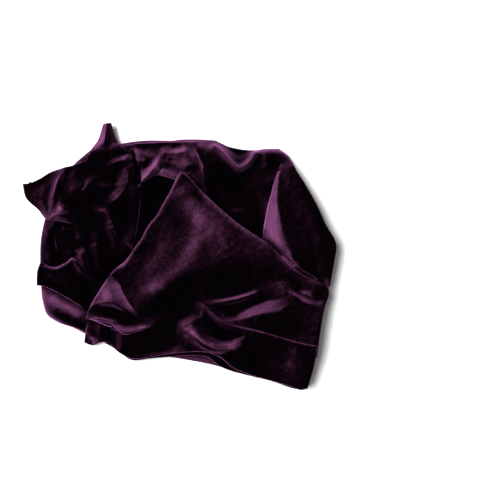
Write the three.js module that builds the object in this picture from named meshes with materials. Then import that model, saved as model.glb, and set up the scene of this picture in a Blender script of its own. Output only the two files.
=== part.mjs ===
import * as THREE from "three";

// A turban headwrap sewn from stretch velvet, lying on its side on a table.
// Millimetres, +Z up, origin on the table under the middle of the heap. The mouth for
// the head faces -Y and the closed back of the crown lies towards +Y.

const WALL = 2; // velvet, pile and backing together
const GAP = 0.7; // air between one layer and the next
const CREASE_HEIGHT = 8; // the crease along the crown's sides, above the table
const SIDE_ROLL = 17; // how far in from the crease the upper wall takes to turn level
const UNDER_ROLL = 13; // the same for the wall underneath
const CREASE_INSET = 3; // cloth left between the outer crease and the hollow
const HOLLOW_ROLL = 5; // how quickly the hollow opens out from the crease
const STEEP_ALLOWANCE = 1.35; // wall measured upwards, to keep its thickness on slopes
const MOUTH_LIP = 7; // how far the wall underneath reaches past the upper one at the mouth
const CELL = 2; // step of the map that says how high the heap already is
const SETTLES = 3; // times a layer is lifted clear of what lies beneath it
const TABLES_MIDDLE = { x: -1.5, y: 1.2 }; // middle of the heap, as the tables below give it

const AUBERGINE = 0x2e1426;
const AUBERGINE_LIT = 0x4a2340;

// ---- The crown: sections from the mouth to the closed back ----------------------------
// left and right are where the section meets its side creases, bow pushes its middle
// towards the back, and low, middle and high are its heights from left to right.
const CROWN_SECTIONS = [
  { left: [-69, -88], right: [129, -131], bow: -3, low: 17, middle: 27, high: 33 },
  { left: [-100, -74], right: [134, -98], bow: 4, low: 19, middle: 37, high: 36 },
  { left: [-126, -54], right: [140, -68], bow: 3, low: 19, middle: 43, high: 38 },
  { left: [-136, -24], right: [148, -38], bow: 0, low: 22, middle: 46, high: 40 },
  { left: [-136, 6], right: [154, -5], bow: 0, low: 24, middle: 46, high: 40 },
  { left: [-131, 34], right: [153, 20], bow: 0, low: 26, middle: 42, high: 40 },
  { left: [-116, 62], right: [139, 52], bow: 0, low: 26, middle: 36, high: 38 },
  { left: [-97, 88], right: [122, 82], bow: 6, low: 24, middle: 31, high: 32 },
  { left: [-78, 106], right: [101, 107], bow: 9, low: 20, middle: 26, high: 24 },
];

// Broad folds and dents pressed into the crown's upper wall.
const CROWN_FOLDS = [
  { from: [28, 66], to: [72, 42], rise: -16, spread: 17 }, // hollow beside the pleat
  { from: [-52, 48], to: [-22, 74], rise: -12, spread: 13 }, // hollow left of the drape
  { from: [34, 104], to: [78, 98], rise: 9, spread: 9 }, // roll along the back edge
  { from: [-30, 84], to: [16, 110], rise: 7, spread: 10 }, // gather behind the drape
  { from: [96, -20], to: [120, -104], rise: 8, spread: 18 }, // side towards the hem
  { from: [-20, -84], to: [60, -112], rise: 6, spread: 13 }, // slack at the mouth
];

// ---- The layers over the crown ------------------------------------------------------
// Each row is a section from its left to its right end. lift holds a section off what it
// lies on, pulls is how taut the cloth spans the hollows beneath it, and ridge, at
// a share of the width, is the height of a fold that runs the length of the piece.
const LAYERS = [
  {
    name: "under_fold",
    colour: AUBERGINE_LIT,
    across: 6,
    along: 10,
    pulls: 1,
    ridge: { at: 0.5, rise: 5, spread: 0.3 },
    sections: [
      { left: [-134, -42], right: [-133, -22], bow: 0, lift: 0 },
      { left: [-118, -60], right: [-112, -32], bow: 0, lift: 1 },
      { left: [-98, -73], right: [-86, -50], bow: 0, lift: 1 },
      { left: [-82, -80], right: [-70, -62], bow: 0, lift: 0 },
    ],
  },
  {
    name: "corner_tab",
    colour: AUBERGINE,
    across: 4,
    along: 6,
    pulls: 1,
    ridge: { at: 0.5, rise: 2, spread: 0.4 },
    sections: [
      { left: [-96, -87], right: [-68, -86], bow: -2, lift: 0 },
      { left: [-93, -74], right: [-66, -72], bow: 0, lift: 1 },
      { left: [-88, -60], right: [-60, -60], bow: 0, lift: 1 },
    ],
  },
  {
    name: "side_pleat",
    colour: AUBERGINE,
    across: 12,
    along: 14,
    pulls: 1,
    ridge: { at: 0.3, rise: 15, spread: 0.24 },
    sections: [
      { left: [88, -10], right: [148, -26], bow: 0, lift: 0 },
      { left: [84, 18], right: [150, 4], bow: 0, lift: 1 },
      { left: [88, 45], right: [141, 34], bow: 0, lift: 1 },
      { left: [95, 74], right: [126, 67], bow: 0, lift: 1 },
      { left: [103, 96], right: [112, 93], bow: 0, lift: 0 },
    ],
  },
  {
    name: "crown_gather",
    colour: AUBERGINE_LIT,
    across: 8,
    along: 16,
    pulls: 2,
    ridge: { at: 0.4, rise: 9, spread: 0.25 },
    sections: [
      { left: [-46, 106], right: [-44, 70], bow: 0, lift: 0 },
      { left: [-18, 111], right: [-4, 80], bow: 0, lift: 2 },
      { left: [18, 112], right: [24, 78], bow: 0, lift: 1 },
      { left: [50, 103], right: [54, 80], bow: 0, lift: 2 },
      { left: [84, 103], right: [82, 92], bow: 0, lift: 0 },
    ],
  },
  {
    name: "tail_side",
    colour: AUBERGINE_LIT,
    across: 8,
    along: 10,
    pulls: 2,
    ridge: { at: 0.45, rise: 9, spread: 0.28 },
    sections: [
      { left: [-157, 73], right: [-149, 74], bow: 0, lift: 6 },
      { left: [-148, 58], right: [-128, 80], bow: 0, lift: 5 },
      { left: [-134, 44], right: [-108, 90], bow: 0, lift: 1 },
      { left: [-116, 34], right: [-90, 92], bow: 0, lift: 0 },
      { left: [-100, 32], right: [-76, 76], bow: 0, lift: 0 },
    ],
  },
  {
    name: "tail_up",
    colour: AUBERGINE_LIT,
    across: 6,
    along: 10,
    pulls: 2,
    ridge: { at: 0.5, rise: 7, spread: 0.3 },
    sections: [
      { left: [-77, 133], right: [-71, 133], bow: 0, lift: 9 },
      { left: [-81, 118], right: [-63, 118], bow: 0, lift: 7 },
      { left: [-88, 104], right: [-56, 110], bow: 0, lift: 2 },
      { left: [-88, 84], right: [-52, 88], bow: 0, lift: 0 },
    ],
  },
  {
    name: "knot",
    colour: AUBERGINE,
    across: 10,
    along: 14,
    pulls: 1,
    ridge: { at: 0.45, rise: 10, spread: 0.2 },
    sections: [
      { left: [-92, 66], right: [-44, 86], bow: 0, lift: 0 },
      { left: [-96, 46], right: [-30, 60], bow: 0, lift: 2 },
      { left: [-98, 22], right: [-46, 30], bow: 0, lift: 3 },
      { left: [-100, -4], right: [-58, 4], bow: 0, lift: 2 },
      { left: [-96, -28], right: [-70, -20], bow: 0, lift: 0 },
    ],
  },
  {
    name: "knot_curl",
    colour: AUBERGINE,
    across: 6,
    along: 10,
    pulls: 1,
    ridge: { at: 0.7, rise: 6, spread: 0.25 },
    sections: [
      { left: [-141, -28], right: [-138, -12], bow: 0, lift: 0 },
      { left: [-124, -31], right: [-122, -8], bow: 0, lift: 1 },
      { left: [-106, -34], right: [-106, -1], bow: 0, lift: 1 },
      { left: [-90, -34], right: [-90, -14], bow: 0, lift: 0 },
    ],
  },
  {
    name: "front_drape",
    colour: AUBERGINE_LIT,
    across: 20,
    along: 18,
    pulls: 8,
    ridge: { at: 0.5, rise: 3, spread: 0.3 },
    sections: [
      { left: [-90, -60], right: [134, -86], bow: 14, lift: 0 },
      { left: [-82, -44], right: [140, -58], bow: 8, lift: 1 },
      { left: [-73, -30], right: [143, -34], bow: 3, lift: 1 },
      { left: [-66, -18], right: [124, -15], bow: 0, lift: 1 },
      { left: [-54, -4], right: [101, 2], bow: 0, lift: 2 },
      { left: [-44, 12], right: [82, 20], bow: 0, lift: 3 },
      { left: [-30, 30], right: [61, 34], bow: 0, lift: 3 },
      { left: [-18, 50], right: [41, 51], bow: 0, lift: 3 },
      { left: [-7, 68], right: [21, 70], bow: 0, lift: 2 },
      { left: [1, 85], right: [7, 85], bow: 0, lift: 1 },
    ],
  },
  {
    name: "drape_turnback",
    colour: AUBERGINE_LIT,
    across: 8,
    along: 8,
    pulls: 2,
    ridge: { at: 0.25, rise: 5, spread: 0.25 },
    sections: [
      { left: [-91, -62], right: [-24, -65], bow: 0, lift: 0 },
      { left: [-86, -50], right: [-36, -56], bow: 0, lift: 1 },
      { left: [-78, -36], right: [-48, -42], bow: 0, lift: 1 },
      { left: [-69, -21], right: [-62, -24], bow: 0, lift: 0 },
    ],
  },
  {
    name: "hem_band",
    colour: AUBERGINE,
    across: 6,
    along: 24,
    pulls: 2,
    ridge: { at: 0.3, rise: 4, spread: 0.25 },
    sections: [
      { left: [-68, -68], right: [-66, -86], bow: 0, lift: 0 },
      { left: [-44, -68], right: [-45, -99], bow: 0, lift: 0 },
      { left: [-16, -66], right: [-9, -98], bow: 0, lift: 1 },
      { left: [15, -56], right: [26, -97], bow: 0, lift: 2 },
      { left: [43, -64], right: [50, -109], bow: 0, lift: 1 },
      { left: [80, -75], right: [87, -121], bow: 0, lift: 0 },
      { left: [108, -83], right: [112, -127], bow: 0, lift: 0 },
      { left: [131, -90], right: [126, -125], bow: 0, lift: 0 },
    ],
  },
];

// ---- Geometry helpers ----------------------------------------------------------------
const mix = THREE.MathUtils.lerp;

// A smooth run of values down a table of sections, as a function of the share along it.
function down(rows, pick) {
  const points = rows.map((row) => new THREE.Vector3(...pick(row)));
  const curve = new THREE.CatmullRomCurve3(points, false, "centripetal");
  return (share) => curve.getPoint(share);
}

// Where the share `along` the sections and the share `across` them lie on the table.
function planOf(rows) {
  const left = down(rows, (row) => [...row.left, row.bow]);
  const right = down(rows, (row) => [...row.right, row.bow]);
  return (along, across) => {
    const from = left(along);
    const to = right(along);
    const width = Math.hypot(to.x - from.x, to.y - from.y);
    const bow = (from.z * 4 * across * (1 - across)) / width;
    return {
      x: mix(from.x, to.x, across) - (to.y - from.y) * bow,
      y: mix(from.y, to.y, across) + (to.x - from.x) * bow,
      width,
    };
  };
}

// A quarter round from 0 at an edge to 1 at `roll` in from it.
function quarterRound(distance, roll) {
  const share = Math.min(distance / roll, 1);
  return Math.sqrt(1 - (1 - share) ** 2);
}

// How much a fold raises the cloth at x, y: full along its line, fading to both sides.
function foldRise(fold, x, y) {
  const [ax, ay] = fold.from;
  const [bx, by] = fold.to;
  const length2 = (bx - ax) ** 2 + (by - ay) ** 2;
  const raw = ((x - ax) * (bx - ax) + (y - ay) * (by - ay)) / length2;
  const share = THREE.MathUtils.clamp(raw, 0, 1);
  const away = Math.hypot(x - mix(ax, bx, share), y - mix(ay, by, share));
  return fold.rise * Math.exp(-((away / fold.spread) ** 2));
}

// Joins vertex grids into one closed surface. Faces are listed as corner points, and a
// face that has shrunk to a line where two grids meet is left out.
class Skin {
  constructor() {
    this.corners = [];
  }
  triangle(a, b, c) {
    const flat = a.equals(b) || b.equals(c) || a.equals(c);
    if (!flat) this.corners.push(...a.toArray(), ...b.toArray(), ...c.toArray());
  }
  quad(a, b, c, d) {
    this.triangle(a, b, c);
    this.triangle(a, c, d);
  }
  // grid[along][across]; up shows the side seen from above.
  face(grid, up) {
    for (let i = 0; i + 1 < grid.length; i++)
      for (let j = 0; j + 1 < grid[i].length; j++) {
        const ring = [grid[i][j], grid[i][j + 1], grid[i + 1][j + 1], grid[i + 1][j]];
        this.quad(...(up ? ring : ring.reverse()));
      }
  }
  // A strip between an upper and a lower edge of the same length.
  strip(upper, lower) {
    for (let i = 0; i + 1 < upper.length; i++)
      this.quad(lower[i], lower[i + 1], upper[i + 1], upper[i]);
  }
  geometry() {
    const made = new THREE.BufferGeometry();
    made.setAttribute("position", new THREE.Float32BufferAttribute(this.corners, 3));
    made.computeVertexNormals();
    return made;
  }
}

// ---- The height of the heap so far ---------------------------------------------------
class Heap {
  constructor() {
    this.cells = new Map();
  }
  key(x, y) {
    return Math.round(x / CELL) + "," + Math.round(y / CELL);
  }
  add(geometry) {
    const at = geometry.getAttribute("position");
    const triangle = new THREE.Triangle();
    for (let i = 0; i < at.count; i += 3) {
      triangle.setFromAttributeAndIndices(at, i, i + 1, i + 2);
      this.addTriangle(triangle);
    }
  }
  addTriangle({ a, b, c }) {
    const longest = Math.max(a.distanceTo(b), b.distanceTo(c), c.distanceTo(a));
    const steps = Math.ceil(longest / (CELL * 0.7));
    for (let i = 0; i <= steps; i++)
      for (let j = 0; j <= steps - i; j++) {
        const [u, v] = [i / steps, j / steps];
        const point = (axis) => a[axis] * (1 - u - v) + b[axis] * u + c[axis] * v;
        const key = this.key(point("x"), point("y"));
        this.cells.set(key, Math.max(this.cells.get(key) ?? 0, point("z")));
      }
  }
  // The height of the heap at x, y, with its neighbouring cells.
  level(x, y) {
    let highest = 0;
    for (const dx of [-CELL, 0, CELL])
      for (const dy of [-CELL, 0, CELL])
        highest = Math.max(highest, this.cells.get(this.key(x + dx, y + dy)) ?? 0);
    return highest;
  }
  // How far the triangle a, b, c has to rise to lie clear of the heap.
  shortfall(a, b, c) {
    const longest = Math.max(a.distanceTo(b), b.distanceTo(c), c.distanceTo(a));
    const steps = Math.ceil(longest / CELL);
    let most = 0;
    for (let i = 0; i <= steps; i++)
      for (let j = 0; j <= steps - i; j++) {
        const [u, v] = [i / steps, j / steps];
        const point = (axis) => a[axis] * (1 - u - v) + b[axis] * u + c[axis] * v;
        const under = this.level(point("x"), point("y"));
        most = Math.max(most, under + GAP - point("z"));
      }
    return most;
  }
}

// ---- Pieces ----------------------------------------------------------------------------
const CROWN_ACROSS = 22;
const CROWN_ALONG = 18;

function makeCrown() {
  const plan = planOf(CROWN_SECTIONS);
  const heights = down(CROWN_SECTIONS, (row) => [row.low, row.middle, row.high]);
  const first = plan(0, 0.5);
  const last = plan(1, 0.5);
  const length = Math.hypot(last.x - first.x, last.y - first.y);

  // The two walls at a share along and across the bag: where they lie, and how high.
  function walls(along, across) {
    const { x, y, width } = plan(along, across);
    const { x: low, y: middle, z: high } = heights(along);
    const level =
      low * (1 - across) * (1 - 2 * across) +
      middle * 4 * across * (1 - across) +
      high * across * (2 * across - 1);
    const fromSide = Math.min(across, 1 - across) * width;
    const fromBack = (1 - along) * length;
    const roll = (size) => quarterRound(fromSide, size) * quarterRound(fromBack, size);
    const folds = CROWN_FOLDS.reduce((sum, fold) => sum + foldRise(fold, x, y), 0);
    return {
      x,
      y,
      fromSide,
      fromBack,
      upper: CREASE_HEIGHT + (level + folds - CREASE_HEIGHT) * roll(SIDE_ROLL),
      lower: CREASE_HEIGHT * (1 - roll(UNDER_ROLL)),
    };
  }

  const outer = { upper: [], lower: [] };
  const inner = { upper: [], lower: [] };
  for (let i = 0; i <= CROWN_ALONG; i++) {
    const along = Math.sin((i / CROWN_ALONG) * (Math.PI / 2));
    const rows = [[], [], [], []];
    for (let j = 0; j <= CROWN_ACROSS; j++) {
      const across = (1 - Math.cos((j / CROWN_ACROSS) * Math.PI)) / 2;
      const lip = MOUTH_LIP * 4 * across * (1 - across) * (1 - along) ** 8;
      const out = walls(along, across);
      rows[0].push(new THREE.Vector3(out.x, out.y, out.upper));
      rows[1].push(new THREE.Vector3(out.x, out.y - lip, out.lower));

      const insetAcross = CREASE_INSET / plan(along, across).width;
      const sideShare = mix(insetAcross, 1 - insetAcross, across);
      const hollow = walls(along * (1 - CREASE_INSET / length), sideShare);
      const open =
        quarterRound(hollow.fromSide - CREASE_INSET + 1e-6, HOLLOW_ROLL) *
        quarterRound(Math.max(hollow.fromBack - CREASE_INSET, 0), HOLLOW_ROLL);
      const onCrease = j === 0 || j === CROWN_ACROSS || i === CROWN_ALONG;
      const share = onCrease ? 0 : open;
      const ceiling = hollow.upper - WALL * STEEP_ALLOWANCE;
      const floor = hollow.lower + WALL;
      const between = (z) => CREASE_HEIGHT + (z - CREASE_HEIGHT) * share;
      rows[2].push(new THREE.Vector3(hollow.x, hollow.y, between(ceiling)));
      rows[3].push(new THREE.Vector3(hollow.x, hollow.y - lip, between(floor)));
    }
    outer.upper.push(rows[0]);
    outer.lower.push(rows[1]);
    inner.upper.push(rows[2]);
    inner.lower.push(rows[3]);
  }

  const skin = new Skin();
  skin.face(outer.upper, true);
  skin.face(outer.lower, false);
  skin.face(inner.upper, false);
  skin.face(inner.lower, true);
  skin.strip(outer.upper[0], inner.upper[0]);
  skin.strip(inner.lower[0], outer.lower[0]);
  return skin.geometry();
}

// Raises the corners of each cell of a sheet until the cell clears the heap.
function settleOn(heap, grid) {
  const raises = grid.map((row) => row.map(() => 0));
  const clear = (corners) => {
    const short = heap.shortfall(...corners.map(([i, j]) => grid[i][j]));
    for (const [i, j] of corners) raises[i][j] = Math.max(raises[i][j], short);
  };
  for (let i = 0; i + 1 < grid.length; i++)
    for (let j = 0; j + 1 < grid[i].length; j++) {
      clear([[i, j], [i, j + 1], [i + 1, j + 1]]);
      clear([[i, j], [i + 1, j + 1], [i + 1, j]]);
      clear([[i, j], [i, j + 1], [i + 1, j]]);
      clear([[i, j + 1], [i + 1, j + 1], [i + 1, j]]);
    }
  grid.forEach((row, i) => row.forEach((point, j) => (point.z += raises[i][j])));
}

// Lays a sheet over the heap: it rests on what is beneath it, spans small hollows, and
// carries one soft ridge along its length.
function makeLayer(layer, heap) {
  const plan = planOf(layer.sections);
  const lift = down(layer.sections, (row) => [row.lift, 0, 0]);
  const grid = [];
  for (let i = 0; i <= layer.along; i++) {
    const row = [];
    for (let j = 0; j <= layer.across; j++) {
      const { x, y } = plan(i / layer.along, j / layer.across);
      row.push(new THREE.Vector3(x, y, 0));
    }
    grid.push(row);
  }

  grid.forEach((row) =>
    row.forEach((point) => (point.z = heap.level(point.x, point.y) + GAP)),
  );
  for (let settle = 0; settle < SETTLES; settle++) settleOn(heap, grid);
  const rest = grid.map((row, i) =>
    row.map((point, j) => {
      const { at, rise, spread } = layer.ridge;
      const beside = (j / layer.across - at) / spread;
      const faded = Math.sin((Math.PI * i) / layer.along);
      const ridge = rise * Math.exp(-(beside ** 2)) * faded;
      return point.z + Math.max(lift(i / layer.along).x, 0) + ridge;
    }),
  );

  let heights = rest;
  for (let pull = 0; pull < layer.pulls; pull++)
    heights = heights.map((row, i) =>
      row.map((own, j) => {
        const beside = [
          heights[i - 1]?.[j],
          heights[i + 1]?.[j],
          heights[i][j - 1],
          heights[i][j + 1],
        ].filter((z) => z !== undefined);
        const mean = beside.reduce((sum, z) => sum + z, 0) / beside.length;
        return Math.max(rest[i][j], mean);
      }),
    );
  grid.forEach((row, i) => row.forEach((point, j) => (point.z = heights[i][j])));

  const top = grid.map((row, i) =>
    row.map((point, j) => {
      const before = grid[Math.max(i - 1, 0)][j];
      const after = grid[Math.min(i + 1, layer.along)][j];
      const leftward = row[Math.max(j - 1, 0)];
      const rightward = row[Math.min(j + 1, layer.across)];
      const ahead = after.clone().sub(before);
      const aside = rightward.clone().sub(leftward);
      const normal = aside.cross(ahead).normalize();
      if (normal.z < 0) normal.negate();
      return point.clone().addScaledVector(normal, WALL);
    }),
  );

  // Sections run left to right as they go up the table on some pieces and down it on
  // others, so the winding follows the plan.
  const corner = grid[0][0];
  const aside = grid[0][1].clone().sub(corner);
  const ahead = grid[1][0].clone().sub(corner);
  if (aside.x * ahead.y - aside.y * ahead.x < 0) {
    grid.forEach((row) => row.reverse());
    top.forEach((row) => row.reverse());
  }

  const column = (rows, j) => rows.map((row) => row[j]);
  const skin = new Skin();
  skin.face(top, true);
  skin.face(grid, false);
  skin.strip(top[0], grid[0]);
  skin.strip(column(top, layer.across), column(grid, layer.across));
  skin.strip([...top[layer.along]].reverse(), [...grid[layer.along]].reverse());
  skin.strip(column(top, 0).reverse(), column(grid, 0).reverse());
  return skin.geometry();
}

// ---- The headwrap --------------------------------------------------------------------
function named(name, geometry, colour) {
  const velvet = new THREE.MeshStandardMaterial({ color: colour, roughness: 0.85 });
  const mesh = new THREE.Mesh(geometry, velvet);
  mesh.name = name;
  return mesh;
}

const headwrap = new THREE.Group();
headwrap.position.set(-TABLES_MIDDLE.x, -TABLES_MIDDLE.y, 0);
const heap = new Heap();
const crown = makeCrown();
heap.add(crown);
headwrap.add(named("crown", crown, AUBERGINE));
for (const layer of LAYERS) {
  const geometry = makeLayer(layer, heap);
  heap.add(geometry);
  headwrap.add(named(layer.name, geometry, layer.colour));
}

export default headwrap;
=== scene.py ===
import math
from collections import namedtuple

import bmesh
import bpy
import numpy as np
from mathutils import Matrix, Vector


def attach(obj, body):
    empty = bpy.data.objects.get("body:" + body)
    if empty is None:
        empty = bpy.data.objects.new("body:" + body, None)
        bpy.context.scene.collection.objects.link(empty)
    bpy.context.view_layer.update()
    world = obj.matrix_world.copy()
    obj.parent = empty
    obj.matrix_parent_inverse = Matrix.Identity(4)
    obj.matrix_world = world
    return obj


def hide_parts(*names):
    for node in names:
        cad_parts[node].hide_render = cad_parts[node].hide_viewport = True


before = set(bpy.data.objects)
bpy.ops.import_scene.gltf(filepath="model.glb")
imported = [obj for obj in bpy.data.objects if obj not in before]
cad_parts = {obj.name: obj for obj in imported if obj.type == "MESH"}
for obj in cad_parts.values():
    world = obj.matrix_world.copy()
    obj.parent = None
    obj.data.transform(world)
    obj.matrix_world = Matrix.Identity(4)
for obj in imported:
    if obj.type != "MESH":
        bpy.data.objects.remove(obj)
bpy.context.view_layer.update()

# A turban headwrap of crushed velvet, lying on its side on a table: a hollow crown, and the
# layers that are folded, draped and gathered over it.
#
# Shapes are worked out in millimetres, as the tables below give them, and become metres in
# the frame's own place when a mesh is made.
MM = 0.001
TABLES_MIDDLE = (-1.5, 1.2)  # middle of the heap, as the tables give it
CLOTH = 1.6  # thickness of the velvet
GAP = 0.5  # air between one layer and the next
CREASE_HEIGHT = 8.0  # crease along the crown's sides, above the table

TINY = 1e-9  # keeps a length that is divided by from being nothing

# Points that a line is drawn with before distances to it are measured.
SPAN_POINTS = 16
FOLD_POINTS = 28
STROKE_POINTS = 20
SIDE_POINTS = 40
CREASE_POINTS = 60
HEM_POINTS = 200

# A crease holds the cloth along a line of (x, y, height) points. The heights are above the
# table, or above what the cloth lies on where over_heap is set.
Crease = namedtuple("Crease", "line over_heap")

# A swelling or dent of the cloth follows a line and dies away over `left` and `right`
# millimetres to its two sides; crest is how blunt it is, fade how much of its ends fades.
Fold = namedtuple("Fold", "line rise left right crest fade", defaults=(1.2, (0.2, 0.2)))

# A row of stitches puckers the cloth along a line, every `spacing` millimetres.
Stitches = namedtuple("Stitches", "line spacing depth reach")

# A stroke of painted light along a line: lighter where its shade is above 0 (a painted highlight),
# darker where it is below (painted shade).
Brush = namedtuple("Brush", "line width shade")


def held(*line):
    """A crease whose heights are above the table."""
    return Crease(line, False)


def raised(*line):
    """A crease whose heights are above what the cloth lies on."""
    return Crease(line, True)


# ---- Lines and patches ---------------------------------------------------------------
def smooth_line(points, count):
    """Evenly spaced points on a smooth curve through the given ones."""
    given = np.array(points, float)
    if len(given) == 2:
        share = np.linspace(0, 1, count)[:, None]
        return given[0] * (1 - share) + given[1] * share
    ends = [2 * given[0] - given[1], 2 * given[-1] - given[-2]]
    knots = np.vstack([ends[0], given, ends[1]])
    pieces = []
    for before, start, stop, after in zip(knots, knots[1:], knots[2:], knots[3:]):
        pieces.append(curve_span(before, start, stop, after, SPAN_POINTS))
    dense = np.vstack(pieces + [given[-1:]])
    steps = np.linalg.norm(np.diff(dense, axis=0), axis=1)
    run = np.concatenate([[0], np.cumsum(steps)])
    at = np.linspace(0, run[-1], count)
    return np.stack([np.interp(at, run, dense[:, axis]) for axis in range(given.shape[1])], 1)


def curve_span(before, start, stop, after, count):
    """One span of a centripetal Catmull-Rom curve, from start up to stop."""
    times = [0.0]
    for a, b in ((before, start), (start, stop), (stop, after)):
        times.append(times[-1] + np.linalg.norm(b - a) ** 0.5 + TINY)
    t0, t1, t2, t3 = times
    t = np.linspace(t1, t2, count, endpoint=False)[:, None]
    a1 = (t1 - t) / (t1 - t0) * before + (t - t0) / (t1 - t0) * start
    a2 = (t2 - t) / (t2 - t1) * start + (t - t1) / (t2 - t1) * stop
    a3 = (t3 - t) / (t3 - t2) * stop + (t - t2) / (t3 - t2) * after
    b1 = (t2 - t) / (t2 - t0) * a1 + (t - t0) / (t2 - t0) * a2
    b2 = (t3 - t) / (t3 - t1) * a2 + (t - t1) / (t3 - t1) * a3
    return (t2 - t) / (t2 - t1) * b1 + (t - t1) / (t2 - t1) * b2


def patch(left, right, front, back, columns, rows):
    """A grid of plan points, [row, column], stretched between four edges."""
    left, right = smooth_line(left, rows), smooth_line(right, rows)
    front, back = smooth_line(front, columns), smooth_line(back, columns)
    s = np.linspace(0, 1, columns)[None, :, None]
    t = np.linspace(0, 1, rows)[:, None, None]
    sides = (1 - s) * left[:, None] + s * right[:, None]
    ends = (1 - t) * front[None] + t * back[None]
    corners = (1 - s) * (1 - t) * front[0] + s * (1 - t) * front[-1]
    corners = corners + (1 - s) * t * back[0] + s * t * back[-1]
    return sides + ends - corners


def nearest(plan, line):
    """How far each plan point is from a line, on which side of it, and how far along."""
    line = np.asarray(line, float)
    starts, runs = line[:-1], np.diff(line, axis=0)
    lengths = np.linalg.norm(runs, axis=1)
    before = np.concatenate([[0], np.cumsum(lengths)])
    best = np.full(plan.shape[:-1], np.inf)
    side = np.zeros(plan.shape[:-1])
    along = np.zeros(plan.shape[:-1])
    for start, run, length, passed in zip(starts, runs, lengths, before):
        offset = plan - start
        share = np.clip((offset @ run) / length**2, 0, 1)
        away = offset - share[..., None] * run
        distance = np.linalg.norm(away, axis=-1)
        closer = distance < best
        best = np.where(closer, distance, best)
        turn = run[0] * offset[..., 1] - run[1] * offset[..., 0]
        side = np.where(closer, np.sign(turn), side)
        along = np.where(closer, (passed + share * length) / before[-1], along)
    return best, side, along


def ease(low, high, value):
    """0 below low, 1 above high, and a smooth step between."""
    share = np.clip((value - low) / (high - low), 0, 1)
    return share * share * (3 - 2 * share)


def quarter_round(distance, roll):
    """0 at the start of a roll, rising like a quarter circle to 1 where it turns level."""
    share = np.clip(distance / roll, 0, 1)
    return np.sqrt(1 - (1 - share) ** 2)


FOLD_STEEPNESS = 1.7  # how fast a fold dies away to its sides
FOLD_POWER = 1.25  # at 1 its flanks are hollow from the crest down, and at 2 it is a bell


def fold_rise(plan, fold):
    """What one fold adds to the height of each plan point."""
    distance, side, along = nearest(plan, smooth_line(fold.line, FOLD_POINTS))
    reach = np.where(side > 0, fold.left, fold.right)
    blunt = np.sqrt(distance**2 + fold.crest**2) - fold.crest
    shape = np.exp(-FOLD_STEEPNESS * (blunt / reach) ** FOLD_POWER)
    fade_in, fade_out = fold.fade
    if fade_in:
        shape = shape * ease(0, fade_in, along)
    if fade_out:
        shape = shape * ease(0, fade_out, 1 - along)
    return fold.rise * shape


BETWEEN_STITCHES = 0.35  # share of the pucker that is left between two stitches


def pucker(plan, stitches):
    """How far a row of stitches draws the cloth down."""
    line = smooth_line(stitches.line, CREASE_POINTS)
    length = np.linalg.norm(np.diff(line, axis=0), axis=1).sum()
    distance, _, along = nearest(plan, line)
    wave = 0.5 - 0.5 * np.cos(2 * math.pi * along * length / stitches.spacing)
    drawn = BETWEEN_STITCHES + (1 - BETWEEN_STITCHES) * wave
    return -stitches.depth * np.exp(-((distance / stitches.reach) ** 2)) * drawn


STROKE_FADE = 0.25  # share of a painted stroke's length over which each of its ends fades
STROKE_ENDS = 0.35  # share of its shade that is left at the ends


def painted_stroke_shade(plan, stroke):
    """How much lighter (painted highlight) or darker (painted shade) one stroke makes each plan
    point.
    """
    distance, _, along = nearest(plan, smooth_line(stroke.line, STROKE_POINTS))
    inside = ease(0, STROKE_FADE, along) * ease(0, STROKE_FADE, 1 - along)
    strength = STROKE_ENDS + (1 - STROKE_ENDS) * inside
    return stroke.shade * np.exp(-((distance / stroke.width) ** 2)) * strength


LATTICE = 256  # cells before the noise comes round again
LATTICE_START = 100.0  # keeps the noise in positive cells wherever the cloth lies


def lattice_noise(plan, size, seed):
    """Smooth noise from -1 to 1 with features about `size` millimetres across."""
    draws = np.random.RandomState(seed).uniform(-1, 1, (LATTICE, LATTICE))
    at = plan / size + LATTICE_START
    cell = np.floor(at).astype(int)
    inside = at - cell
    blend = inside * inside * (3 - 2 * inside)
    value = 0
    for dx in (0, 1):
        for dy in (0, 1):
            weight_x = blend[..., 0] if dx else 1 - blend[..., 0]
            weight_y = blend[..., 1] if dy else 1 - blend[..., 1]
            drawn = draws[(cell[..., 0] + dx) % LATTICE, (cell[..., 1] + dy) % LATTICE]
            value = value + weight_x * weight_y * drawn
    return value


WRINKLE_STRETCH = 2.6  # how much longer than wide a wrinkle is
WRINKLE_BEND = 0.3  # how far it bends from a straight line, as a share of its size
BEND_SIZE = 1.6  # how long those bends are, as a share of its size
FINE_SIZE = 0.4  # size of the finer wrinkles on it
FINE_SHARE = 0.25  # share of the height that they have


def crumple(plan, size, height, lean, seed):
    """Soft wrinkles that run along the direction `lean`, in degrees from +X."""
    turn = math.radians(lean)
    along = plan[..., 0] * math.cos(turn) + plan[..., 1] * math.sin(turn)
    across = plan[..., 1] * math.cos(turn) - plan[..., 0] * math.sin(turn)
    bent = across + WRINKLE_BEND * size * lattice_noise(plan, size * BEND_SIZE, seed + 1)
    stretched = np.stack([along / WRINKLE_STRETCH, bent], -1)
    ridge = 1 - 2 * np.abs(lattice_noise(stretched, size, seed))
    fine = 1 - 2 * np.abs(lattice_noise(stretched, size * FINE_SIZE, seed + 2))
    return height * ((1 - FINE_SHARE) * ridge + FINE_SHARE * fine)


CRUSH_STREAKS = (7, 0.28, -50, 91)  # size, height, lean and seed
CRUSH_SPECKS = (3.5, 95)  # size and seed
SPECK_HEIGHT = 0.16


def fine_crush(plan):
    """The fine crush of the velvet, the same all over."""
    return crumple(plan, *CRUSH_STREAKS) + SPECK_HEIGHT * lattice_noise(plan, *CRUSH_SPECKS)


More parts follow.
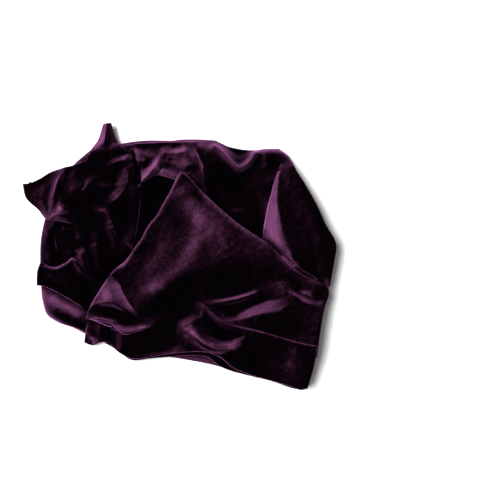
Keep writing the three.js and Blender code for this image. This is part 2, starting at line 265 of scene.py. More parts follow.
# ---- The height of the heap so far -----------------------------------------------------
class Heap:
    """A map of the table that keeps how high the cloth lies over each millimetre."""

    HALF = (190, 170)

    def __init__(self):
        self.top = np.zeros((2 * self.HALF[0], 2 * self.HALF[1]))
        self.cover = self.top

    def add(self, points):
        """Adds a grid of points, filling in between them."""
        points = refine(refine(points))
        x = np.round(points[..., 0]).astype(int) + self.HALF[0]
        y = np.round(points[..., 1]).astype(int) + self.HALF[1]
        np.maximum.at(self.top, (x, y), points[..., 2])
        cover = self.top
        for axis in (0, 1):
            aside = [np.roll(cover, step, axis) for step in (-1, 1)]
            cover = np.maximum(cover, np.maximum(*aside))
        self.cover = average(cover)

    def level(self, plan):
        """The highest cloth at each plan point or within a millimetre of it."""
        at = np.asarray(plan, float)[..., :2] + self.HALF
        low = np.clip(np.floor(at).astype(int), 0, np.array(self.top.shape) - 2)
        part = np.clip(at - low, 0, 1)
        x, y = low[..., 0], low[..., 1]
        near = self.cover[x, y] * (1 - part[..., 1]) + self.cover[x, y + 1] * part[..., 1]
        far = self.cover[x + 1, y] * (1 - part[..., 1]) + self.cover[x + 1, y + 1] * part[..., 1]
        return near * (1 - part[..., 0]) + far * part[..., 0]


def refine(grid):
    """The same grid with a point halfway between each pair."""
    rows = np.repeat(grid, 2, axis=0)[:-1]
    rows[1::2] = (grid[:-1] + grid[1:]) / 2
    finer = np.repeat(rows, 2, axis=1)[:, :-1]
    finer[:, 1::2] = (rows[:, :-1] + rows[:, 1:]) / 2
    return finer


def average(values):
    """Each value replaced by the mean of its four neighbours."""
    padded = np.pad(values, 1, mode="edge")
    return (padded[:-2, 1:-1] + padded[2:, 1:-1] + padded[1:-1, :-2] + padded[1:-1, 2:]) / 4


def soften(values, times):
    """Heights, or how light the pile lies, evened out more with every pass."""
    for _ in range(times):
        values = average(values)
    return values


# ---- Making meshes ----------------------------------------------------------------------
SAME_POINT = 0.02  # points this near each other are sewn into one
# Painted light: faces turned towards the light, which comes from the upper left, are made lighter,
# and steep faces get a painted sheen.
PAINTED_LIGHT_FROM = (-0.8, 0.6)  # way the painted light comes from, seen from above
FACING_LIGHT_CONTRAST = 0.85
PAINTED_SHEEN_CONTRAST = 0.3
STEEPENS = (0.04, 0.5)  # how far a face has tipped where that contrast starts, and is full


def painted_light_by_facing(points):
    """Painted light: lighter on faces turned the way the light comes from, and a painted sheen on
    steep ones.
    """
    across = np.gradient(points, axis=1)
    along = np.gradient(points, axis=0)
    normal = np.cross(across, along)
    normal = normal / (np.linalg.norm(normal, axis=-1, keepdims=True) + TINY)
    normal = normal * np.sign(normal[..., 2:] + TINY)
    turned = normal[..., 0] * PAINTED_LIGHT_FROM[0] + normal[..., 1] * PAINTED_LIGHT_FROM[1]
    return FACING_LIGHT_CONTRAST * turned + PAINTED_SHEEN_CONTRAST * ease(*STEEPENS, 1 - normal[..., 2])


def cloth_mesh(name, points, light, weld):
    """A smooth mesh through a grid of points, facing up, or out where it is a bag."""
    rows, columns = points.shape[:2]
    made = bmesh.new()
    bmesh.ops.create_grid(made, x_segments=columns - 1, y_segments=rows - 1, size=0.5)
    # each point keeps its tone and its painted light and shade
    pile = made.verts.layers.float.new("pile")
    for vert in made.verts:
        column = round((vert.co.x + 0.5) * (columns - 1))
        row = round((vert.co.y + 0.5) * (rows - 1))
        x, y, z = points[row, column]
        vert.co = ((x - TABLES_MIDDLE[0]) * MM, (y - TABLES_MIDDLE[1]) * MM, z * MM)
        vert[pile] = light[row, column]
    if weld:
        bmesh.ops.remove_doubles(made, verts=made.verts, dist=SAME_POINT * MM)
    bmesh.ops.recalc_face_normals(made, faces=made.faces)
    upward = sum(face.normal.z * face.calc_area() for face in made.faces)
    if not weld and upward < 0:
        bmesh.ops.reverse_faces(made, faces=made.faces)
    for face in made.faces:
        face.smooth = True
    mesh = bpy.data.meshes.new(name)
    made.to_mesh(mesh)
    made.free()
    return mesh


def cloth_object(name, points, light, weld=False):
    """One sheet of velvet through a grid of points, with its tone and its painted light and shade
    at each.
    """
    sheet = bpy.data.objects.new(name, cloth_mesh(name, points, light, weld))
    bpy.context.collection.objects.link(sheet)
    wall = sheet.modifiers.new("thickness", "SOLIDIFY")
    wall.thickness = CLOTH * MM
    wall.offset = -1
    return sheet


# ---- The crown --------------------------------------------------------------------------
# Sections from the mouth to the closed back: where each meets its side creases, how far
# its middle bows towards the back, and its heights from left to right.
Section = namedtuple("Section", "left right bow low middle high")
CROWN_SECTIONS = [
    Section((-69, -88), (129, -131), -3, 17, 26, 30),
    Section((-101, -74), (136, -100), 2, 19, 34, 34),
    Section((-129, -57), (141, -74), 3, 19, 39, 37),
    Section((-139, -30), (147, -49), 0, 22, 42, 38),
    Section((-140, -4), (152, -22), 0, 24, 42, 38),
    Section((-139, 20), (155, 11), 0, 25, 41, 38),
    Section((-132, 48), (142, 43), 0, 26, 38, 37),
    Section((-116, 76), (123, 77), 0, 25, 33, 33),
    Section((-98, 98), (110.5, 100.5), 6, 23, 28, 27),
    Section((-79, 110), (100, 109), 9, 20, 25, 23),
]
SIDE_ROLL = 15.0  # how far in from the crease the upper wall takes to turn level
UNDER_ROLL = 12.0  # the same for the wall underneath
LOWEST_TOP = 12.0  # how low the crown's dents may go
LOWER_LIP = 8.0  # how far the lower hem lifts off the table
OFF_TABLE = 0.05  # air under the wall underneath
CROWN_LENGTH = 222.0  # from the mouth to the closed back

# How far each hem strays from a straight line, at shares of the mouth from left to right.
UPPER_HEM = [
    (0, 0), (0.05, -5), (0.11, -9.5), (0.2, -3.5), (0.3, 3), (0.48, 12), (0.62, 3), (0.8, 1),
    (0.93, -3), (1, 0),
]
LOWER_HEM = [
    (0, 0), (0.1, -3), (0.25, 1.5), (0.37, 4), (0.5, 5), (0.6, 4), (0.7, 3), (0.85, 1.5),
    (0.93, 0), (1, 0),
]
# How far the closed back strays from its section, at shares from left to right.
BACK_SHAPE = [
    (0, 0), (0.2, 1), (0.4, -1), (0.5, 0), (0.58, 0), (0.66, -2), (0.73, -6), (0.8, -7),
    (0.86, -6), (0.92, -3), (1, 0),
]
FADES_FROM_HEM = 9  # higher powers keep a hem's shape closer to it
FADES_FROM_BACK = 6

CROWN_FOLDS = [
    Fold([(30, 84), (56, 66), (78, 44), (90, 18), (108, -8)], -22, 19, 26, 8, (0.3, 0.15)),
    Fold([(-30, 70), (-28, 40), (-50, 6)], -14, 14, 16, 5, (0.35, 0.1)),
    Fold([(30, 112), (37, 109), (44, 102), (52, 93), (60, 88), (67, 91), (74, 99), (80, 109)],
         11, 3, 4, 0.8, (0.1, 0.1)),
    Fold([(46, 114), (60, 104), (72, 112)], -14, 9, 8, 3, (0, 0)),
    Fold([(84, 108), (88, 98), (86, 84)], 4, 6, 5),
    Fold([(53, 45), (64, 45)], 2, 2, 2, 0.6),
    Fold([(100, -20), (120, -60), (124, -104)], 7, 18, 16, 4),
    Fold([(-20, -84), (60, -112)], 5, 12, 12, 4),
    Fold([(-132, 20), (-124, 30), (-118, 40)], 4, 5, 5),
    Fold([(-134, 34), (-131, 24), (-132, 10)], 3, 3, 3),
    Fold([(-134, -2), (-120, 4), (-108, 18)], 5, 7, 7),
    Fold([(-94, 97), (-80, 104), (-66, 102)], 4, 5, 6),
]
CROWN_WRINKLES = (22, 1.4, 24, 5)  # size, height, lean and seed
# The crown's overall tone on the colours from painted shade to painted highlight; it sits near the
# shaded end.
CROWN_TONE = 0.08
PLAIN_RIM = 12.0  # height above the crease over which the painted light and sheen fade in
# Painted highlights (shade above 0) and painted shade (below 0) on the crown: the lit U ridge, and
# dark hollows by the knot and along the sides.
CROWN_PAINTED_STROKES = [
    Brush([(36, 110), (44, 102), (52, 93), (60, 88), (67, 91), (74, 99), (79, 107)], 2.6, 0.7),
    Brush([(52, 46), (64, 46)], 2, 0.3),
    Brush([(-128, -14), (-124, 8), (-122, 30)], 12, -1.1),
    Brush([(18, 113), (26, 109), (34, 106)], 5, 0.5),
    Brush([(-142, -6), (-141, 18), (-134, 42)], 8, -0.8),
    Brush([(50, 106), (60, 100), (70, 106)], 6, -0.8),
    Brush([(40, 76), (80, 40)], 22, -0.1),
    Brush([(-30, 92), (-31, 66), (-36, 36), (-46, 2)], 16, -1.1),
]
# A painted highlight on the lip of the lower hem, inside the mouth.
LOWER_HEM_HIGHLIGHT = Brush([(-20, -98), (20, -105), (50, -112)], 7, 0.9)

CROWN_ROWS = CROWN_COLUMNS = 151
CLOSER_ROWS = 0.45  # 0 spaces the rows evenly, and 1 brings them together near the back
CLOSER_COLUMNS = 0.35  # the same for the columns, near the side creases
TRACK_POINTS = 600  # points on the smooth run from section to section


def crown_shares():
    """How far along the crown each of its rows is, and how far across each column."""
    steady = np.linspace(0, 1, CROWN_ROWS)
    along = CLOSER_ROWS * np.sin(steady * math.pi / 2) + (1 - CLOSER_ROWS) * steady
    steady = np.linspace(0, 1, CROWN_COLUMNS)
    across = CLOSER_COLUMNS * (1 - np.cos(steady * math.pi)) / 2 + (1 - CLOSER_COLUMNS) * steady
    return np.clip(along, 0, 1)[:, None], np.clip(across, 0, 1)


def crown_sections(along):
    """The section at each share of the way along: left, right, bow, low, middle, high."""
    table = [(*s.left, *s.right, s.bow, s.low, s.middle, s.high) for s in CROWN_SECTIONS]
    track = smooth_line(table, TRACK_POINTS)
    return [np.interp(along, np.linspace(0, 1, TRACK_POINTS), column) for column in track.T]


def strays(shape, across):
    """How far a hem or the back strays at each share of the way across."""
    line = smooth_line(shape, HEM_POINTS)
    return np.interp(across, line[:, 0], line[:, 1])


def crown_plan(along, across, hem):
    """Where the crown's points are, seen from above, and how wide it is at each row."""
    lx, ly, rx, ry, bow = crown_sections(along)[:5]
    width = np.hypot(rx - lx, ry - ly)
    push = bow * 4 * across * (1 - across) / width
    x = lx + (rx - lx) * across - (ry - ly) * push
    y = ly + (ry - ly) * across + (rx - lx) * push
    y = y + strays(BACK_SHAPE, across) * along**FADES_FROM_BACK
    y = y + strays(hem, across) * (1 - along) ** FADES_FROM_HEM
    return np.stack([x, y], -1), width


def from_creases(along, across, width):
    """How far in each point is from the side creases, and from the crease at the back."""
    return np.minimum(across, 1 - across) * width, (1 - along) * CROWN_LENGTH


def upper_wall(along, across):
    """The upper wall's points: dented and crumpled inside, and rolled down to the creases."""
    plan, width = crown_plan(along, across, UPPER_HEM)
    low, middle, high = crown_sections(along)[5:]
    level = low * (1 - across) * (1 - 2 * across) + middle * 4 * across * (1 - across)
    level = level + high * across * (2 * across - 1)
    level = level + sum(fold_rise(plan, fold) for fold in CROWN_FOLDS)
    from_side, from_back = from_creases(along, across, width)
    inner = ease(0, SIDE_ROLL, np.minimum(from_side, from_back))
    level = level + (crumple(plan, *CROWN_WRINKLES) + fine_crush(plan)) * inner
    roll = quarter_round(from_side, SIDE_ROLL) * quarter_round(from_back, SIDE_ROLL)
    height = CREASE_HEIGHT + (np.maximum(level, LOWEST_TOP) - CREASE_HEIGHT) * roll
    return np.concatenate([plan, height[..., None]], -1)


def lower_wall(along, across):
    """The points of the wall underneath: flat on the table, with its hem lifted a little."""
    plan, width = crown_plan(along, across, LOWER_HEM)
    from_side, from_back = from_creases(along, across, width)
    roll = quarter_round(from_side, UNDER_ROLL) * quarter_round(from_back, UNDER_ROLL)
    lift = LOWER_LIP * (1 - along) ** FADES_FROM_HEM * roll
    height = CREASE_HEIGHT * (1 - roll) + lift + OFF_TABLE
    return np.concatenate([plan, height[..., None]], -1)


def make_crown(heap):
    """The crown is one bag of velvet: its two walls meet along the sides and the back."""
    along, across = crown_shares()
    upper = upper_wall(along, across)
    lower = lower_wall(along, across)
    lower[:, 0], lower[:, -1] = upper[:, 0], upper[:, -1]
    lower[-1] = upper[-1]
    heap.add(upper)
    # Painted light and sheen by facing, faded in above the crease, over the tone, plus painted
    # highlights and shade along strokes.
    rolled_in = ease(CREASE_HEIGHT, CREASE_HEIGHT + PLAIN_RIM, upper[..., 2])
    light = CROWN_TONE + soften(painted_light_by_facing(upper), 2) * rolled_in
    light = light + sum(painted_stroke_shade(upper[..., :2], stroke) for stroke in CROWN_PAINTED_STROKES)
    lower_light = painted_stroke_shade(lower[..., :2], LOWER_HEM_HIGHLIGHT)
    ring = np.concatenate([upper, lower[:, -2::-1]], 1)
    light = np.concatenate([light, lower_light[:, -2::-1]], 1)
    return cloth_object("crown_velvet", ring, light, weld=True)


# ---- The layers over the crown -------------------------------------------------------------
# Each layer is a sheet of velvet, stretched between its four edges, seen from above.
#   cut, filled: the rectangle it was cut from, in millimetres, and how much of that it fills
#   lies, on: how it lies, and what it lies on
#   creases, swells: lines that hold it up or down, and soft folds with no crease
#   wrinkles: the size, height, lean and seed of its small wrinkles
#   stitches: the seams and hems sewn in it
#   tucked: sides, or lines, where it runs in under other cloth
#   edge: how far its free edges turn down
#   sag, soft: how fast it hangs between its creases, and how round it bends
#   step: how far apart its points are
#   tone, painted strokes: painted light and shade, over the whole sheet and in strokes along lines
Layer = namedtuple(
    "Layer",
    "name cut filled lies on left right front back creases"
    " swells wrinkles stitches tucked edge sag soft step tone brushes",
    defaults=((), (), (), (), 2.0, 0.01, 2, 1.0, 0.25, ()),
)

UNDER_FOLD = Layer(
    name="under_fold",
    cut=(68, 36),
    filled=0.85,
    lies="folded",
    on=("crown",),
    left=[(-138, -30), (-136, -24)],
    right=[(-94, -75), (-88, -56)],
    front=[(-138, -30), (-137, -45), (-133, -58), (-121, -66), (-107, -70.5), (-94, -75)],
    back=[(-136, -24), (-122, -30), (-104, -40), (-88, -56)],
    creases=[
        held((-138, -31, 12), (-137, -45, 4), (-133, -58, 3), (-121, -66, 3), (-107, -70.5, 3),
             (-94, -75, 6)),
        held((-135, -42, 20), (-126, -49, 23), (-112, -55.5, 25), (-100, -61, 26), (-89, -67, 26)),
        held((-133, -32, 14), (-119, -41, 18), (-104, -50, 20), (-90, -59, 21)),
    ],
    tucked=("back", "right"),
    sag=0.004,
    step=0.9,
    # Tone and strokes: painted light and painted shade.
    tone=0.12,
    brushes=[
        Brush([(-134, -37), (-121, -46), (-108, -52), (-91, -63)], 6, 1.0),
        Brush([(-131, -57), (-116, -63), (-95, -72)], 4, -0.7),
    ],
)
CORNER_TAB = Layer(
    name="corner_tab",
    cut=(36, 32),
    filled=0.86,
    lies="folded",
    on=("crown",),
    left=[(-95, -86), (-93, -75), (-90, -61)],
    right=[(-60, -90), (-64, -76), (-67, -61)],
    front=[(-95, -86), (-87, -89), (-79, -86), (-69, -86), (-60, -90)],
    back=[(-90, -61), (-67, -61)],
    creases=[
        held((-95, -86, 14), (-93, -75, 26), (-90, -61, 36)),
        raised((-87, -62, 1), (-86, -76, 1), (-88, -87, 2)),
        raised((-76, -62, 3), (-78, -74, 4), (-79, -85, 3)),
    ],
    wrinkles=[(9, 0.7, 75, 11)],
    tucked=("back", "right"),
    step=0.9,
    # Tone and strokes: painted light and painted shade.
    tone=0.12,
    brushes=[
        Brush([(-90, -64), (-91, -80)], 3, 0.35),
        Brush([(-72, -70), (-72, -84)], 8, -0.2),
    ],
)
SIDE_PLEAT = Layer(
    name="side_pleat",
    cut=(74, 145),
    filled=0.69,
    lies="folded",
    on=("crown",),
    left=[(106, -18), (94, 0), (84, 12), (84, 22), (88, 47), (92, 62), (96, 77), (100, 87),
          (104, 99)],
    right=[(150, -30), (154, -8), (156, 12), (146, 31), (137, 51), (126, 71), (116, 87),
           (107, 100)],
    front=[(106, -18), (126, -26), (150, -30)],
    back=[(104, 99), (107, 100)],
    creases=[
        held((106, -16, 44), (95, 0, 26), (86, 12, 22), (85, 24, 21), (88, 47, 21), (92, 62, 22),
             (97, 77, 24), (101, 87, 26)),
        held((123, -17, 54), (112, 3, 53), (105, 17, 52), (101, 32, 51), (98, 47, 50), (97, 60, 48),
             (98, 72, 44), (100, 85, 37), (104, 97, 28)),
        held((118, 20, 49), (113, 50, 46), (110, 76, 40)),
        raised((136, -20, 3), (136, 10, 4), (126, 50, 4), (115, 80, 3)),
    ],
    wrinkles=[(12, 0.7, 100, 15), (6, 0.3, 60, 17)],
    tucked=([(106, -18), (126, -26), (138, -28)], "back"),
    edge=1.0,
    sag=0.004,
    # Tone and strokes: painted light and painted shade.
    tone=0.24,
    brushes=[
        Brush([(95, 12), (93, 26), (92, 40), (94, 58)], 6, 0.7),
        Brush([(97, 62), (98, 76), (100, 92)], 2, 0.15),
        Brush([(106, 7), (112, -3), (119, -13)], 2, 0.4),
        Brush([(97, 18), (103, 8)], 3, 0.4),
        Brush([(112, 2), (116, -6)], 2, -0.6),
        Brush([(84, 22), (94, 6), (106, -12)], 5, -0.7),
        Brush([(93, 56), (97, 50)], 3, -0.2),
        Brush([(90, 30), (97, 22)], 3, 0.12),
        Brush([(124, 0), (118, 50), (112, 82)], 5, 0.1),
        Brush([(138, 10), (126, 56)], 5, 0.1),
        Brush([(146, 10), (134, 50), (118, 80)], 6, -0.3),
    ],
)
CROWN_GATHER = Layer(
    name="crown_gather",
    cut=(88, 54),
    filled=0.86,
    lies="gathered",
    on=("crown",),
    left=[(-46, 69), (-50, 92), (-53, 111)],
    right=[(28, 62), (25, 88), (20, 103), (17, 115)],
    front=[(-46, 69), (-31, 75), (-22, 80), (-8, 77), (3, 73), (15, 67), (28, 62)],
    back=[(-53, 111), (-35, 113), (-19, 114), (0, 114), (17, 115)],
    creases=[
        raised((-9, 106, 3), (-18, 98, 9), (-23, 89, 13), (-31, 79, 12), (-45, 70, 8)),
        raised((-7, 100, 3), (-13, 93, 5), (-18, 84, 6), (-24, 79, 5)),
        raised((-22, 87, 12), (-12, 82, 9), (2, 76, 8)),
        raised((-60, 108, 3), (-48, 107, 8), (-38, 102, 8), (-28, 96, 8)),
        raised((-46, 101, 2), (-36, 96, 2)),
        raised((-52, 96, 4), (-46, 98, 7), (-38, 93, 5)),
        raised((-42, 88, 0.5), (-31, 88, 1)),
        raised((-48, 82, 0.5), (-38, 80, 1)),
        raised((-12, 96, 2), (0, 91, 2), (14, 86, 2)),
        raised((-12, 102, 5), (4, 103, 8), (12, 107, 4)),
        raised((-4, 112, 2), (8, 112, 2)),
        raised((6, 87, 3), (13, 91, 5), (20, 95, 4)),
        raised((13, 114, 2), (17, 104, 6), (21, 92, 6), (25, 74, 5)),
        raised((10, 104, 2), (14, 92, 2), (18, 78, 2)),
    ],
    wrinkles=[(11, 0.8, 35, 21), (5, 0.3, 70, 23)],
    tucked=("left", "right"),
    sag=0.07,
    soft=1,
    step=0.9,
    # Tone and strokes: painted light and painted shade.
    tone=0.46,
    brushes=[
        Brush([(-8, 104), (2, 96), (-4, 86)], 9, 0.25),
        Brush([(-13, 102), (-19, 95), (-26, 83), (-42, 71)], 3, 0.65),
        Brush([(-22, 88), (-12, 78), (0, 76)], 5, 0.4),
        Brush([(2, 103), (18, 104)], 7, 0.35),
        Brush([(18, 106), (22, 94), (26, 78)], 2, 0.35),
        Brush([(-54, 106), (-36, 101)], 3, 0.3),
        Brush([(-50, 96), (-42, 97)], 4, 0.3),
        Brush([(-46, 84), (-36, 86)], 6, -0.5),
        Brush([(-54, 113), (-28, 112)], 5, -0.7),
        Brush([(-26, 112), (6, 112)], 5, -0.7),
        Brush([(-33, 91), (-27, 95)], 5, -0.6),
        Brush([(-24, 101), (-16, 102)], 4, -0.4),
        Brush([(8, 104), (22, 100), (22, 84)], 4, 0.35),
        Brush([(-44, 113), (-20, 106)], 5, -0.4),
        Brush([(8, 84), (22, 90)], 1.5, -0.4),
        Brush([(-50, 72), (-49, 108)], 5, -0.5),
    ],
)
TAIL_SIDE = Layer(
    name="tail_side",
    cut=(82, 66),
    filled=0.72,
    lies="draped",
    on=("crown", "knot"),
    left=[(-157, 73), (-149, 74)],
    right=[(-98, 30), (-94, 60), (-92, 96)],
    front=[(-157, 73), (-154, 59), (-141, 46.5), (-134, 38), (-129, 36), (-119, 35), (-98, 30)],
    back=[(-149, 74), (-139, 79), (-130, 84.5), (-118, 88.5), (-107, 90.5), (-92, 96)],
    creases=[
        held((-157, 73, 17), (-150, 67, 16), (-141, 60, 18), (-131, 54, 22)),
        held((-154, 60, 12), (-141, 48, 13), (-134, 39, 16)),
        held((-149, 74, 14), (-139, 79, 13), (-130, 84, 14), (-118, 89, 16)),
        held((-110, 88, 26), (-118, 79, 33), (-122, 69, 37), (-125, 55, 38), (-127, 40, 33)),
        held((-128, 72, 24), (-130, 60, 25), (-130, 46, 25)),
        raised((-113, 80, 1), (-115, 66, 1), (-115, 52, 1)),
        raised((-128, 37, 6), (-118, 41, 8), (-106, 36, 6), (-99, 31, 3)),
    ],
    wrinkles=[(12, 0.8, -45, 31), (5, 0.3, 20, 33)],
    tucked=("right",),
    sag=0.03,
    soft=1,
    step=0.9,
    # Tone and strokes: painted light and painted shade.
    tone=0.1,
    brushes=[
        Brush([(-113, 87), (-119, 78), (-122, 68), (-124, 54), (-125, 40)], 1.4, 0.7),
        Brush([(-128, 38), (-118, 37), (-102, 33)], 2, 0.4),
        Brush([(-152, 64), (-136, 50)], 7, 0.1),
        Brush([(-110, 84), (-114, 68), (-114, 50)], 7, -0.7),
        Brush([(-127, 78), (-130, 60), (-131, 40)], 5, -0.8),
        Brush([(-117, 66), (-120, 42)], 3.5, 0.9),
        Brush([(-148, 73), (-128, 81), (-112, 87)], 6, -0.7),
        Brush([(-120, 88), (-100, 94)], 4, -0.5),
        Brush([(-118, 50), (-114, 44)], 3, 0.3),
    ],
)
TAIL_UP = Layer(
    name="tail_up",
    cut=(38, 38),
    filled=0.78,
    lies="draped",
    on=("crown", "knot"),
    left=[(-92, 97), (-87, 109), (-81.5, 117), (-78, 127), (-76, 133)],
    right=[(-55, 106), (-59, 111), (-63, 118), (-66, 127), (-68, 134)],
    front=[(-92, 97), (-72, 101), (-55, 106)],
    back=[(-76, 133), (-68, 134)],
    creases=[
        held((-89, 98, 22), (-84, 112, 16), (-79, 124, 17), (-75, 132, 20)),
        held((-72, 101, 32), (-74, 112, 27), (-73, 124, 26), (-72, 132, 24)),
        held((-58, 106, 22), (-62, 116, 16), (-66, 127, 17), (-69, 133, 20)),
        held((-67, 104, 26), (-69, 114, 22), (-70, 124, 23)),
    ],
    tucked=("front",),
    step=0.8,
    # Tone and strokes: painted light and painted shade.
    tone=0.34,
    brushes=[
        Brush([(-78, 108), (-75, 126)], 3, 0.15),
        Brush([(-66, 108), (-69, 126)], 4, 0.4),
        Brush([(-84, 98), (-58, 104)], 4, -0.8),
    ],
)
KNOT = Layer(
    name="knot",
    cut=(88, 155),
    filled=0.88,
    lies="gathered",
    on=("crown", "crown_gather"),
    left=[(-100, -28), (-116, -6), (-124, 18), (-123, 45), (-117, 72), (-109, 89), (-87, 109)],
    right=[(-66, -26), (-56, -8), (-48, 6), (-42, 24), (-39, 44), (-38, 62), (-38, 82), (-46, 106)],
    front=[(-100, -28), (-84, -30), (-66, -26)],
    back=[(-87, 109), (-68, 106), (-46, 106)],
    creases=[
        raised((-82, 43, 2), (-74, 45, 9), (-68, 38, 10), (-64, 22, 10), (-58, 8, 8), (-53, -4, 3)),
        raised((-74, 36, 1), (-70, 22, 1), (-66, 6, 1), (-62, -6, 1)),
        raised((-61, 38, 2), (-58, 22, 6), (-55, 10, 3)),
        raised((-100, 32, 3), (-97, 18, 9), (-96, 4, 11), (-92, -10, 10), (-89, -20, 4)),
        raised((-103, 20, 1), (-103, 8, 0.5), (-100, -10, 1)),
        raised((-91, 26, 1), (-89, 8, 0.5), (-84, -12, 1)),
        raised((-84, 24, 3), (-80, 6, 7), (-76, -14, 5)),
        raised((-76, 20, 1), (-74, 0, 1)),
        raised((-46, 92, 4), (-49, 80, 10), (-53, 68, 11), (-60, 57, 9), (-69, 50, 3)),
        raised((-57, 86, 1), (-61, 74, 1), (-68, 62, 1)),
        raised((-108, 57, 2), (-98, 64, 9), (-91, 70, 9), (-84, 78, 3)),
        raised((-102, 54, 1), (-90, 58, 1), (-80, 62, 1)),
        raised((-96, 76, 1), (-88, 82, 1)),
        raised((-78, 68, 6), (-66, 68, 6), (-60, 72, 3)),
        raised((-70, 88, 2), (-60, 94, 8), (-48, 101, 10)),
        raised((-64, 99, 1), (-52, 104, 2)),
        raised((-84, 104, 3), (-76, 102, 6), (-68, 103, 6), (-58, 106, 4)),
        raised((-90, 86, 1), (-80, 92, 0.5), (-72, 94, 1)),
        raised((-122, 27, 3), (-112, 26, 5), (-104, 24, 2)),
        raised((-118, 18, 1), (-108, 14, 1)),
        raised((-116, -2, 3), (-109, 3, 6), (-102, 4, 4)),
    ],
    wrinkles=[(14, 0.7, 70, 47), (6, 0.35, -30, 49)],
    tucked=("left", "right", "front", "back"),
    sag=0.1,
    soft=1,
    # Tone and strokes: painted light and painted shade.
    tone=-0.12,
    brushes=[
        Brush([(-64, 101), (-57, 103)], 3, -0.5),
        Brush([(-53, 109), (-48, 104)], 3, 0.5),
        Brush([(-46, 107), (-40, 92), (-39, 78), (-41, 44), (-48, 12)], 3.5, -1.6),
        Brush([(-102, 60), (-95, 65), (-88, 69)], 4, 0.8),
        Brush([(-57, 95), (-50, 98), (-44, 101)], 3.5, 1.0),
        Brush([(-52, 89), (-42, 92)], 4, 0.8),
        Brush([(-97, 26), (-95, 8), (-92, -12)], 2.5, 0.35),
        Brush([(-49, 82), (-51, 70), (-58, 60), (-66, 53)], 1.8, 0.8),
        Brush([(-79, 45), (-72, 44), (-67, 34), (-61, 20), (-55, 6)], 1.4, 0.8),
        Brush([(-80, 106), (-70, 103), (-58, 107)], 1.6, 0.6),
        Brush([(-82, 22), (-78, 0)], 3, 0.3),
        Brush([(-118, 28), (-106, 25)], 1.6, 0.4),
        Brush([(-110, 0), (-105, 3)], 2.5, 0.5),
        Brush([(-40, 84), (-42, 60), (-46, 34), (-50, 8), (-60, -14)], 8, -1.2),
        Brush([(-108, -24), (-118, -2), (-124, 22), (-122, 48)], 7, -0.8),
        Brush([(-114, 82), (-100, 98), (-84, 108)], 6, -0.8),
    ],
)
KNOT_CURL = Layer(
    name="knot_curl",
    cut=(72, 46),
    filled=0.67,
    lies="folded",
    on=("crown", "knot", "under_fold"),
    left=[(-142, -29), (-141, -14), (-138, -6)],
    right=[(-86, -60), (-84, -40), (-86, -20)],
    front=[(-142, -29), (-134, -30), (-119, -37), (-99, -49), (-86, -60)],
    back=[(-138, -6), (-124, -11), (-112, -7), (-104, -2), (-96, -9), (-86, -20)],
    creases=[
        held((-142, -28, 24), (-141, -14, 26), (-138, -7, 26)),
        raised((-138, -9, 3), (-124, -14, 4), (-112, -10, 5), (-104, -5, 6), (-98, -11, 5),
               (-90, -20, 3)),
        held((-141, -29, 25), (-134, -30, 28), (-119, -37, 30), (-99, -49, 32), (-87, -60, 33)),
        raised((-128, -20, 2), (-112, -24, 5), (-98, -32, 2)),
        raised((-110, -30, 1), (-96, -40, 1)),
    ],
    wrinkles=[(9, 1.0, -25, 57)],
    tucked=("right",),
    sag=0.06,
    soft=1,
    step=0.9,
    # Tone and strokes: painted light and painted shade.
    tone=-0.15,
    brushes=[
        Brush([(-109, -5), (-105, 0), (-101, -5)], 1.8, 0.7),
        Brush([(-138, -9), (-120, -12), (-112, -8)], 1.2, 0.5),
        Brush([(-96, -12), (-90, -16)], 1.5, 0.5),
        Brush([(-136, -24), (-110, -34)], 5, -0.3),
    ],
)
